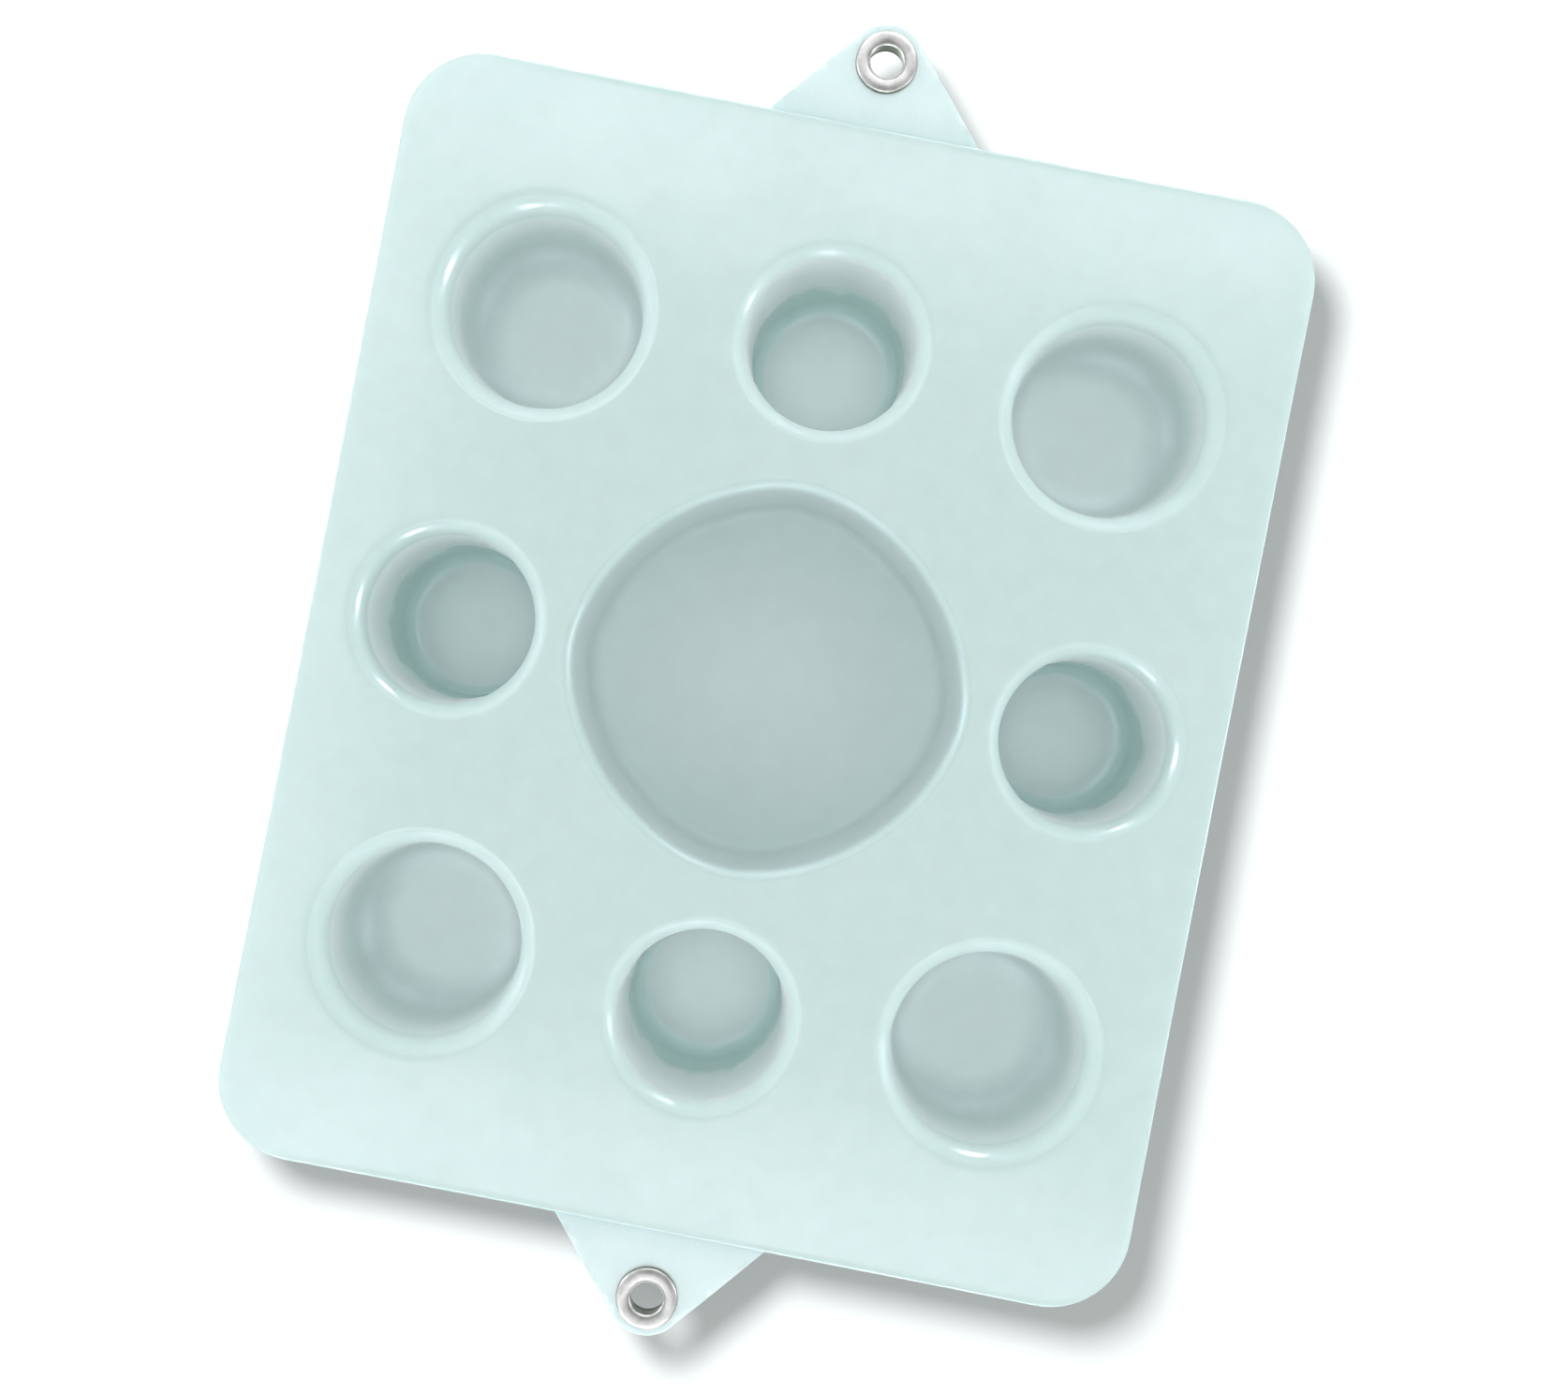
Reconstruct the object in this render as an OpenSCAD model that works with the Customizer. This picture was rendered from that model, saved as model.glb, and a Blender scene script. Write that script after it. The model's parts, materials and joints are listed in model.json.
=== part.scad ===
// Mixing palette: a thin moulded tray with one wide centre well, four corner
// wells and four deep cups that it stands on. A flexible tab with a metal
// eyelet is bonded under each short edge and folds at that edge.
// Millimetres. Origin: middle of the footprint, on the surface it stands on.
// X runs across the plate, Y along it, Z up. In node names "top" is the +Y
// edge and "bottom" the -Y edge. Names end in _w width, _l length,
// _r radius, _t thickness, _h height.

/* [Plate] */
// Width of the plate
plate_w = 140; // [138:1:150]
// Length of the plate
plate_l = 170; // [168:1:184]
// Corner radius of the plate, seen from above
corner_r = 12.4; // [8:0.2:16]
// Thickness of the moulded sheet
wall_t = 1.6; // [1.2:0.1:1.8]
// Small break along the plate's upper edge
edge_break = 0.3; // [0.1:0.05:0.5]

/* [Deep cups] */
// Distance of the two cups on the X axis from the middle
cup_x = 49.4; // [48.5:0.1:50.5]
// Distance of the two cups on the Y axis from the middle
cup_y = 52.1; // [50.5:0.1:53]
// Radius where a cup's rim leaves the flat plate
cup_rim_r = 15.6; // [15:0.1:16.5]
// Depth of a cup below the plate's face
cup_depth = 17.4; // [15:0.2:20]
// Radius of the rim's rounding
cup_rim_round = 2.6; // [2.4:0.1:3.6]
// Slope of a cup's wall, degrees from upright
cup_draft = 5; // [3:0.5:6]
// Rounding between wall and floor
cup_floor_round = 3; // [1:0.1:4]

/* [Corner wells] */
// Distance of the corner wells from the middle, across
well_x = 43.9; // [42:0.1:45]
// Distance of the corner wells from the middle, along
well_y = 49; // [47:0.1:50]
// Radius where a corner well's rim leaves the flat plate
well_rim_r = 17.8; // [17:0.1:18.6]
// Depth of a corner well below the plate's face
well_depth = 12.4; // [9:0.2:14]
// Radius of the rim's rounding
well_rim_round = 3; // [2.4:0.1:3.8]
// Slope of a corner well's wall, degrees from upright
well_draft = 8; // [3:0.5:12]
// Rounding between wall and floor
well_floor_round = 5.4; // [2:0.1:6.5]

/* [Centre well] */
// Half-width of the centre well at its wall's top, across
centre_half_w = 29.7; // [28:0.1:30]
// Half-length of the centre well at its wall's top, along
centre_half_l = 29.1; // [28:0.1:30]
// Outline exponent: 2 is an ellipse, lower is closer to a diamond
centre_exponent = 1.79; // [1.7:0.01:2]
// Depth of the centre well below the plate's face
centre_depth = 8; // [6:0.2:9]
// Radius of the rim's rounding
centre_rim_round = 1.8; // [1.7:0.1:2]
// Slope of the centre well's wall, degrees from upright
centre_draft = 9; // [5:0.5:15]
// Rounding between wall and floor
centre_floor_round = 1.6; // [1:0.1:2.5]

/* [Tabs] */
// Thickness of the flexible tab sheet
tab_t = 0.8; // [0.6:0.1:0.8]
// Half-width of a tab at its fold
tab_half_w = 16.8; // [15.5:0.1:18]
// Reach of the eyelet's centre beyond the plate's edge
tab_reach = 11.1; // [10.5:0.1:12.5]
// Radius of the tab's rounded tip
tab_tip_r = 6; // [5.6:0.1:6.4]
// Half-width of the hidden part bonded under the plate
root_half_w = 20; // [19:0.5:24]
// Length of the hidden part bonded under the plate
root_l = 14; // [11:0.5:14.5]
// Distance of the fold line beyond the plate's edge
fold_gap = 0.5; // [0.5:0.05:0.7]
// Thickness of the adhesive pad
pad_t = 0.3; // [0.2:0.05:0.5]

/* [Eyelets] */
// Radius of the eyelet's hole
eyelet_bore_r = 2.5; // [2.2:0.05:2.6]
// Thickness of the eyelet's metal
eyelet_metal = 0.35; // [0.3:0.05:0.4]
// Outer radius of the eyelet's upper flange
eyelet_flange_r = 4.75; // [4.5:0.05:5]
// Height of the flange above the tab
eyelet_flange_h = 0.75; // [0.65:0.05:0.9]
// Outer radius of the washer under the tab
washer_r = 4.5; // [4.2:0.05:4.8]
// Thickness of the washer
washer_t = 0.3; // [0.25:0.05:0.4]

/* [Hidden] */
$fn = 96;
arc_steps = 8;          // flat bands across each rounding
loft_steps = 64;        // points round the centre well
mouth_run_on = 0.02;    // how far a well's first band is carried on upward
cutter_lift = 1;        // how far cutters pass through a face

top_z = cup_depth + wall_t;         // the plate's face; cup floors are wall_t thick
tab_top_z = top_z - wall_t - pad_t; // upper side of the tab sheet
tab_under_z = tab_top_z - tab_t;    // lower side of the tab sheet
tab_mid_z = tab_top_z - tab_t / 2;  // the fold axis' height

edge_y = plate_l / 2;               // the plate's short edge
fold_y = edge_y + fold_gap;         // the fold axis
eyelet_y = edge_y + tab_reach;      // the eyelet's centre

fold_clear = 0.05;                  // running gap between root and flap
fold_trim = 0.1;                    // taken off the root's half-width at the fold
root_corner_r = 3;
pad_inset = 1;                      // the pad's margin inside the root

barrel_r = eyelet_bore_r + eyelet_metal;
sheet_hole_r = barrel_r + 0.05;     // hole in tab and washer, clear of the barrel
washer_step = 0.1;                  // step along the washer's lower edge

cup_places = [[-cup_x, 0], [cup_x, 0], [0, -cup_y], [0, cup_y]];
well_places = [for (sx = [-1, 1], sy = [-1, 1]) [sx * well_x, sy * well_y]];

// Points along an arc, first and last included
function arc(centre_x, centre_y, radius, from, to) =
    [for (i = [0 : arc_steps]) let (angle = from + (to - from) * i / arc_steps)
        [centre_x + radius * cos(angle), centre_y + radius * sin(angle)]];

// ---- Wells ----

// Section of a well as [radius, height], from its mouth down to its floor.
// rim_r is where the rim leaves a flat face at height 0, and the wall slopes
// by draft. skin moves the whole section outward by the sheet's thickness.
function well_section(rim_r, depth, rim_round, draft, floor_round, skin) =
    let (
        // top of the straight wall, inner surface
        wall_x = rim_r - rim_round * cos(draft),
        wall_z = -rim_round + rim_round * sin(draft),
        // centre of the floor rounding: floor_round above the floor and inside the wall
        foot_z = -depth + floor_round,
        wall_drop = wall_z - (foot_z + floor_round * sin(-draft)),
        foot_x = wall_x - wall_drop * tan(draft) - floor_round * cos(draft)
    )
    concat(
        arc(rim_r, -rim_round, rim_round - skin, 90, 180 - draft),
        arc(foot_x, foot_z, floor_round + skin, -draft, -90)
    );

function cup_section(skin) =
    well_section(cup_rim_r, cup_depth, cup_rim_round, cup_draft, cup_floor_round, skin);

// A shallow corner well keeps a little straight wall between its two roundings
function corner_section(skin) =
    let (foot_round = min(well_floor_round, well_depth - well_rim_round - 0.5))
    well_section(well_rim_r, well_depth, well_rim_round, well_draft, foot_round, skin);

// Here the radii are offsets from the centre well's outline
function centre_section(skin) =
    well_section(centre_rim_round * cos(centre_draft), centre_depth, centre_rim_round,
                 centre_draft, centre_floor_round, skin);

// The section with two points added above its mouth: the first band is carried
// on a little along its slope, then goes straight up to lift
function with_mouth(section, lift) =
    let (
        first = section[0],
        second = section[1],
        mouth_x = first[0] + mouth_run_on * (first[0] - second[0]) / (first[1] - second[1])
    )
    concat([[mouth_x, first[1] + lift], [mouth_x, first[1] + mouth_run_on]], section);

module turned_well(section, lift) {
    profile = with_mouth(section, lift);
    rotate_extrude()
        polygon(concat(
            [[0, profile[0][1]]],
            profile,
            [[0, profile[len(profile) - 1][1]]]));
}

// Outline radius of the centre well at an angle
function centre_r(angle) =
    1 / pow(pow(abs(cos(angle)) / centre_half_w, centre_exponent)
            + pow(abs(sin(angle)) / centre_half_l, centre_exponent),
            1 / centre_exponent);

// A closed solid that follows the centre well's outline, one ring of points
// for each point of the section
module lofted_centre(section, lift) {
    rings = with_mouth(section, lift);
    last = len(rings) - 1;
    n = loft_steps;
    polyhedron(
        points = [for (ring = rings, i = [0 : n - 1])
            let (angle = 360 * (i + 0.5) / n, radius = centre_r(angle) + ring[0])
            [radius * cos(angle), radius * sin(angle), ring[1]]],
        faces = concat(
            [[for (i = [n - 1 : -1 : 0]) i]],
            [for (j = [0 : last - 1], i = [0 : n - 1])
                [j * n + i, j * n + (i + 1) % n, (j + 1) * n + (i + 1) % n]],
            [for (j = [0 : last - 1], i = [0 : n - 1])
                [j * n + i, (j + 1) * n + (i + 1) % n, (j + 1) * n + i]],
            [[for (i = [0 : n - 1]) last * n + i]]),
        convexity = 4);
}

// All nine wells as solids, with the plate's face at height 0
module wells(skin, lift) {
    for (p = cup_places)
        translate([p[0], p[1], 0]) turned_well(cup_section(skin), lift);
    for (p = well_places)
        translate([p[0], p[1], 0]) turned_well(corner_section(skin), lift);
    lofted_centre(centre_section(skin), lift);
}

// ---- Tray ----

// The plate with round corners, its upper edge stepped in by edge_break
module plate() {
    core_x = plate_w / 2 - corner_r;    // corner centres
    core_y = plate_l / 2 - corner_r;
    module layer(grow, height) {
        for (sx = [-1, 1], sy = [-1, 1])
            translate([sx * core_x, sy * core_y, 0])
                cylinder(r = corner_r + grow, h = height);
        translate([-core_x, -plate_l / 2 - grow, 0])
            cube([2 * core_x, plate_l + 2 * grow, height]);
        translate([-plate_w / 2 - grow, -core_y, 0])
            cube([plate_w + 2 * grow, 2 * core_y, height]);
    }
    layer(0, wall_t - edge_break);
    translate([0, 0, wall_t - edge_break]) layer(-edge_break, edge_break);
}

module tray() {
    color([0.80, 0.90, 0.885])
    translate([0, 0, top_z])
    difference() {
        union() {
            translate([0, 0, -wall_t]) plate();
            wells(skin = wall_t, lift = wall_t / 2);
        }
        wells(skin = 0, lift = cutter_lift);
    }
}

// ---- Tabs ----

// Everything below is drawn for the tab at the +Y edge, then turned half round
// for the other tab
module at_edge(top) { rotate([0, 0, top ? 0 : 180]) children(); }

// Plan of the hidden root: it widens from the fold, then runs straight back,
// with round inner corners
module root_plan(inset) {
    fold_x = tab_half_w + fold_gap - fold_trim - inset;
    side_x = root_half_w - inset;
    front_y = edge_y + (inset > 0 ? -inset : fold_gap - tab_t / 2 - fold_clear);
    shoulder_y = edge_y - (root_half_w - tab_half_w);
    corner_x = side_x - root_corner_r;
    corner_y = edge_y - root_l + inset + root_corner_r;
    polygon(concat(
        [[-fold_x, front_y], [fold_x, front_y], [side_x, shoulder_y]],
        arc(corner_x, corner_y, root_corner_r, 0, -90),
        arc(-corner_x, corner_y, root_corner_r, -90, -180),
        [[-side_x, shoulder_y]]));
}

// Plan of the free flap: straight sides that meet the round tip at a tangent
module flap_plan() {
    // from the fold's +X end: distance to the tip's centre, then the side's
    // direction and length
    tip_distance = norm([tab_half_w, eyelet_y - fold_y]);
    side_angle = atan2(eyelet_y - fold_y, -tab_half_w) - asin(tab_tip_r / tip_distance);
    side_l = sqrt(tip_distance * tip_distance - tab_tip_r * tab_tip_r);
    tangent_x = tab_half_w + side_l * cos(side_angle);
    tangent_y = fold_y + side_l * sin(side_angle);
    difference() {
        union() {
            polygon([[-tab_half_w, fold_y], [tab_half_w, fold_y], [tangent_x, tangent_y],
                     [0, eyelet_y], [-tangent_x, tangent_y]]);
            translate([0, eyelet_y]) circle(r = tab_tip_r);
        }
        translate([0, eyelet_y]) circle(r = sheet_hole_r);
    }
}

module tab_root(top) {
    color([0.80, 0.89, 0.88])
    at_edge(top)
    translate([0, 0, tab_under_z]) linear_extrude(height = tab_t) root_plan(0);
}

module tab_flap(top) {
    color([0.83, 0.92, 0.92])
    at_edge(top) {
        translate([0, 0, tab_under_z]) linear_extrude(height = tab_t) flap_plan();
        // round inner end, centred on the fold axis
        translate([-tab_half_w, fold_y, tab_mid_z]) rotate([0, 90, 0])
            cylinder(r = tab_t / 2, h = 2 * tab_half_w);
    }
}

module bond_pad(top) {
    color([0.93, 0.93, 0.90])
    at_edge(top)
    translate([0, 0, tab_top_z]) linear_extrude(height = pad_t) root_plan(pad_inset);
}

// ---- Eyelets ----

// Rolled eyelet: domed flange on the tab, barrel through it, and a lip curled
// over the washer below. Height 0 is the tab's upper side.
module eyelet(top) {
    mouth_round = 0.5;          // at the mouth of the hole
    rim_round = 0.3;            // at the flange's outer edge
    rim_drop = 0.15;            // the flange's edge lies this much below its crown
    rim_bevel = 0.12;           // under the flange's outer edge
    lip_round = 0.35;
    lip_r = barrel_r + 0.75;
    lip_z = -tab_t - washer_t;  // the washer's lower side
    color([0.78, 0.77, 0.77])
    at_edge(top)
    translate([0, eyelet_y, tab_top_z])
    rotate_extrude()
        polygon(concat(
            arc(eyelet_bore_r + mouth_round, eyelet_flange_h - mouth_round,
                mouth_round, 180, 90),
            arc(eyelet_flange_r - rim_round, eyelet_flange_h - rim_drop - rim_round,
                rim_round, 80, 0),
            [[eyelet_flange_r, rim_bevel], [eyelet_flange_r - rim_bevel, 0],
             [barrel_r, 0], [barrel_r, lip_z], [lip_r, lip_z]],
            arc(lip_r - lip_round, lip_z - lip_round, lip_round, 60, -90),
            arc(eyelet_bore_r + lip_round, lip_z - lip_round, lip_round, -90, -180)));
}

module eyelet_washer(top) {
    color([0.76, 0.76, 0.75])
    at_edge(top)
    translate([0, eyelet_y, tab_under_z - washer_t])
    difference() {
        union() {
            translate([0, 0, washer_step]) cylinder(r = washer_r, h = washer_t - washer_step);
            cylinder(r = washer_r - washer_step, h = washer_t);
        }
        translate([0, 0, -cutter_lift])
            cylinder(r = sheet_hole_r, h = washer_t + 2 * cutter_lift);
    }
}

tray();
tab_root(true);  // top_tab_root
tab_flap(true);  // top_tab_flap
bond_pad(true);  // top_bond_pad
eyelet(true);  // top_eyelet
eyelet_washer(true);  // top_eyelet_washer
tab_root(false);  // bottom_tab_root
tab_flap(false);  // bottom_tab_flap
bond_pad(false);  // bottom_bond_pad
eyelet(false);  // bottom_eyelet
eyelet_washer(false);  // bottom_eyelet_washer
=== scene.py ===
"""Mixing palette: a moulded tray of wells with a hanging tab at each end.

The tray lies flat with its face up (+Z) and its long side along Y, centred on X = Y = 0.
The "top" tab is at +Y, the "bottom" tab at -Y. Shapes are worked out in millimetres and
turned into metres when a mesh is made; the stage, lights and camera are in metres.
"""

import json
import math
from collections import namedtuple

import bpy
import numpy as np
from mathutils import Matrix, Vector
from mathutils.geometry import delaunay_2d_cdt


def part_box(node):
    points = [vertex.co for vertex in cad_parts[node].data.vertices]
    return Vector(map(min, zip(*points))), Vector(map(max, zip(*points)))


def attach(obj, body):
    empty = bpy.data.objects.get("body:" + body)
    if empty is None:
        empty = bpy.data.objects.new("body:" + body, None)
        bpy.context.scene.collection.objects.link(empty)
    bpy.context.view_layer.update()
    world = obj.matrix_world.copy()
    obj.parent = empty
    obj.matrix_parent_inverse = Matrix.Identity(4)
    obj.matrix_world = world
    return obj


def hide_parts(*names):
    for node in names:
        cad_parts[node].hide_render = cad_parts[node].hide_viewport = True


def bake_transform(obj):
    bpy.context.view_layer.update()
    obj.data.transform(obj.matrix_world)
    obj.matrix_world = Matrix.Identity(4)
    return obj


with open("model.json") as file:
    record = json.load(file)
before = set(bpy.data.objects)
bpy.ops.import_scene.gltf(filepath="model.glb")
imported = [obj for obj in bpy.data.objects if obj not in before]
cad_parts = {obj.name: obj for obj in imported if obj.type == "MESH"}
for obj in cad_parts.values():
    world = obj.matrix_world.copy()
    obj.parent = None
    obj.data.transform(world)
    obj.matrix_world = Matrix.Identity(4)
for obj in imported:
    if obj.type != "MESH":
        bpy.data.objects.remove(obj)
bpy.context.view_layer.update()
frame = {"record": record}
record = frame["record"]
MM = 0.001

# ------------------------------------------------------------------ sizes from the frame (mm)


def box_mm(piece):
    low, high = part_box(piece)
    return np.array(low) / MM, np.array(high) / MM


TRAY_LOW, TRAY_HIGH = box_mm("tray")
PLATE_W = TRAY_HIGH[0] - TRAY_LOW[0]
PLATE_L = TRAY_HIGH[1] - TRAY_LOW[1]
TOP_Z = TRAY_HIGH[2]

# plan middle of each opening, by name
OPENINGS = {
    o["name"]: ((np.array(o["box_m"][0]) + np.array(o["box_m"][1])) / 2 / MM)[:2]
    for o in record["physics"]["openings"]
}

FLAP_LOW, FLAP_HIGH = box_mm("top_tab_flap")
TAB_TOP_Z = FLAP_HIGH[2]
TAB_T = FLAP_HIGH[2] - FLAP_LOW[2]
TAB_HALF_W = FLAP_HIGH[0]
EYELET_LOW, EYELET_HIGH = box_mm("top_eyelet")
EYELET_Y = (EYELET_LOW[1] + EYELET_HIGH[1]) / 2
FLANGE_R = (EYELET_HIGH[0] - EYELET_LOW[0]) / 2
TIP_R = FLAP_HIGH[1] - EYELET_Y
ROOT_LOW, ROOT_HIGH = box_mm("top_tab_root")
ROOT_HALF_W = ROOT_HIGH[0]
ROOT_END = ROOT_LOW[1]
FOLD_Y = record["behaviour"]["joints"][0]["pos_m"][1] / MM
WASHER_LOW, WASHER_HIGH = box_mm("top_eyelet_washer")
PAD_LOW, PAD_HIGH = box_mm("top_bond_pad")

ENDS = (("top", 1), ("bottom", -1))  # name and side of Y

# ------------------------------------------------------------------ sizes of the tray (mm)

CORNER_R = 12.4
WALL_T = 1.6
EDGE_R = 0.5  # round on the plate's cut edge
EDGE_STEPS = 5

# Sections: radius where the face meets the lip, depth, lip round, wall draft in degrees, foot round
CUP = dict(rim_r=15.6, depth=17.4, rim=2.6, draft=5.0, floor_r=3.0)
CORNER_WELL = dict(rim_r=17.8, depth=12.4, rim=3.0, draft=8.0, floor_r=5.4)
# The centre recess is a superellipse in plan; its section stands off that outline
CENTRE_HALF_X, CENTRE_HALF_Y, CENTRE_POWER = 29.7, 29.1, 1.79
CENTRE = dict(depth=8.0, rim=1.8, draft=9.0, floor_r=1.6)
CENTRE["rim_r"] = CENTRE["rim"] * math.cos(math.radians(CENTRE["draft"]))

# ------------------------------------------------------------------ curves and fills


def smooth(start, end, x):
    t = np.clip((np.asarray(x, float) - start) / (end - start), 0.0, 1.0)
    return t * t * (3 - 2 * t)


def arc(middle_x, middle_y, radius, start, end, count):
    """count + 1 points from angle start to end, in degrees."""
    angles = [math.radians(start + (end - start) * i / count) for i in range(count + 1)]
    return [(middle_x + radius * math.cos(a), middle_y + radius * math.sin(a)) for a in angles]


def between(start, end, count):
    """The points that cut a line into count parts, without its ends."""
    (x0, y0), (x1, y1) = start, end
    return [(x0 + (x1 - x0) * i / count, y0 + (y1 - y0) * i / count) for i in range(1, count)]


def circle(middle_y, radius, count, shift=0.0):
    """Points round (0, middle_y); shift turns them by a part of one step."""
    angles = [2 * math.pi * (i + shift) / count for i in range(count)]
    return [(radius * math.cos(a), middle_y + radius * math.sin(a)) for a in angles]


def rounded_rect(corner_x, corner_y, radius, corner_steps, side_steps, middle_y=0.0):
    """Anticlockwise rounded rectangle; corner_x and corner_y place the corners' arc centres."""
    corners = [
        arc(sx * corner_x, middle_y + sy * corner_y, radius, start, start + 90, corner_steps)
        for sx, sy, start in ((1, 1, 0), (-1, 1, 90), (-1, -1, 180), (1, -1, 270))
    ]
    points = []
    for k, corner in enumerate(corners):
        points += corner
        points += between(corner[-1], corners[(k + 1) % 4][0], side_steps[k % 2])
    return points


def in_polygon(polygon, x, y):
    x1, y1 = polygon[:, 0], polygon[:, 1]
    x2, y2 = np.roll(x1, -1), np.roll(y1, -1)
    # the tiny term keeps level sides from dividing by zero
    hit = ((y1 > y) != (y2 > y)) & (x < (x2 - x1) * (y - y1) / (y2 - y1 + 1e-30) + x1)
    return bool(hit.sum() % 2)


def fill(loops, loose):
    """Triangles inside loops[0] and outside the other loops, through the loose points."""
    points, edges = [], []
    for loop in loops:
        first = len(points)
        points += [tuple(p) for p in loop]
        edges += [(first + i, first + (i + 1) % len(loop)) for i in range(len(loop))]
    points += [tuple(p) for p in loose]
    _, _, faces, sources, _, _ = delaunay_2d_cdt(
        [Vector(p) for p in points], edges, [], 0, 1e-6
    )
    source = [min(s) if s else None for s in sources]
    polygons = [np.array(loop) for loop in loops]
    triangles = []
    for face in faces:
        corners = [source[i] for i in face]
        if None in corners:
            continue
        (x0, y0), (x1, y1), (x2, y2) = (points[i] for i in corners)
        x, y = (x0 + x1 + x2) / 3, (y0 + y1 + y2) / 3
        if not in_polygon(polygons[0], x, y) or any(in_polygon(p, x, y) for p in polygons[1:]):
            continue
        if (x1 - x0) * (y2 - y0) - (x2 - x0) * (y1 - y0) < 0:
            corners = corners[::-1]
        triangles.append(tuple(corners))
    return triangles


def hex_grid(x0, x1, y0, y1, step):
    points = []
    row_step = step * math.sqrt(3) / 2
    for j in range(int((y1 - y0) / row_step) + 2):
        shift = step / 2 if j % 2 else 0.0
        for i in range(int((x1 - x0) / step) + 2):
            points.append((x0 + shift + i * step, y0 + j * row_step))
    return points


def at_height(points, z):
    return np.column_stack([points, np.broadcast_to(z, len(points))])


def edge_levels(radius, steps):
    """Rings down a rounded cut edge: (on the upper round, step, inset, distance from the face)."""
    for k in range(1, steps + 1):
        angle = math.radians(90 * k / steps)
        yield True, k, radius * (1 - math.sin(angle)), radius * (1 - math.cos(angle))
    for k in range(steps):
        angle = math.radians(90 - 90 * k / steps)
        yield False, k, radius * (1 - math.sin(angle)), radius * (1 - math.cos(angle))


class MeshBuilder:
    """Collects points, faces and four shade values per point for one closed mesh, in mm.

    the first darkens below 1 as painted shade and brightens above it as painted light, the second
    pales, mostly as a painted sheen, the third takes out the mint as a painted tint of shade,
    and the fourth takes off the gloss.
    """

    SHADES = ("tone", "lift", "grey", "rub")

    def __init__(self):
        self.points = []
        self.faces = []
        self.shades = {name: [] for name in self.SHADES}

    def add(self, points, tone=1.0, lift=0.0, grey=0.0, rub=0.0):
        """Adds points and returns their numbers; each shade is one value or one per point."""
        first = len(self.points)
        self.points.extend(tuple(map(float, p)) for p in points)
        for name, values in zip(self.SHADES, (tone, lift, grey, rub)):
            self.shades[name].extend(map(float, np.broadcast_to(values, len(points))))
        return list(range(first, len(self.points)))

    def bridge(self, ring_a, ring_b, flip=False):
        count = len(ring_a)
        for i in range(count):
            j = (i + 1) % count
            quad = (ring_a[i], ring_a[j], ring_b[j], ring_b[i])
            self.faces.append(quad[::-1] if flip else quad)

    def extend(self, ring, points, flip=False, **shades):
        """Adds a ring of points, joins it to the last one and returns it."""
        new_ring = self.add(points, **shades)
        self.bridge(ring, new_ring, flip)
        return new_ring

    def triangles(self, numbers, triangles, flip=False):
        for triangle in triangles:
            face = tuple(numbers[k] for k in triangle)
            self.faces.append(face[::-1] if flip else face)

    def half_turn(self):
        """Turns everything half round Z, for the piece at the other end."""
        self.points = [(-x, -y, z) for x, y, z in self.points]

    def build(self, name):
        mesh = bpy.data.meshes.new(name)
        mesh.from_pydata((np.array(self.points) * MM).tolist(), [], self.faces)
        mesh.validate()
        mesh.polygons.foreach_set("use_smooth", [True] * len(mesh.polygons))
        for shade, values in self.shades.items():
            attribute = mesh.attributes.new(shade, "FLOAT", "POINT")
            attribute.data.foreach_set("value", np.array(values, np.float32))
        mesh.update()
        built = bpy.data.objects.new(name, mesh)
        bpy.context.scene.collection.objects.link(built)
        return built


# ------------------------------------------------------------------ the wells in plan

# plan gives the outline's radius at an angle, to which the section's radii are added;
# reach is the largest such radius
Well = namedtuple("Well", "name kind middle form count plan reach")


def point_plan(angle):
    """A round well's section turns about its middle."""
    return 0.0


def centre_plan(angle):
    across, along = abs(math.cos(angle)), abs(math.sin(angle))
    total = (across / CENTRE_HALF_X) ** CENTRE_POWER + (along / CENTRE_HALF_Y) ** CENTRE_POWER
    return 1.0 / total ** (1 / CENTRE_POWER)


def round_well(name, kind, form):
    return Well(name, kind, OPENINGS[name], form, 96, point_plan, 0.0)


WELLS = [round_well(k, "corner", CORNER_WELL) for k in OPENINGS if k.startswith("corner_well")]
WELLS += [
    round_well(k, "cup", CUP) for k in ("cup_left", "cup_right", "cup_top", "cup_bottom")
]
WELLS.append(Well("centre", "centre", np.zeros(2), CENTRE, 144, centre_plan, CENTRE_HALF_X))


def ring_angles(count):
    return 2 * math.pi * (np.arange(count) + 0.5) / count


def well_ring(well, offset):
    points = []
    for angle in ring_angles(well.count):
        radius = well.plan(angle) + offset
        points.append(
            (
                well.middle[0] + radius * math.cos(angle),
                well.middle[1] + radius * math.sin(angle),
            )
        )
    return points


def lip_gap(x, y):
    """Distance from a point of the face to the nearest well's lip."""
    gaps = []
    for well in WELLS:
        dx, dy = x - well.middle[0], y - well.middle[1]
        gaps.append(math.hypot(dx, dy) - (well.form["rim_r"] + well.plan(math.atan2(dy, dx))))
    return min(gaps)


# ------------------------------------------------------------------ the wells' shades


def eased(base, *steps):
    """A value that starts at base and takes soft steps of (gain, start, end) along a part."""
    return lambda along: base + sum(g * smooth(start, end, along) for g, start, end in steps)


def stations(places, values):
    return lambda along: np.interp(along, places, values)
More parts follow.
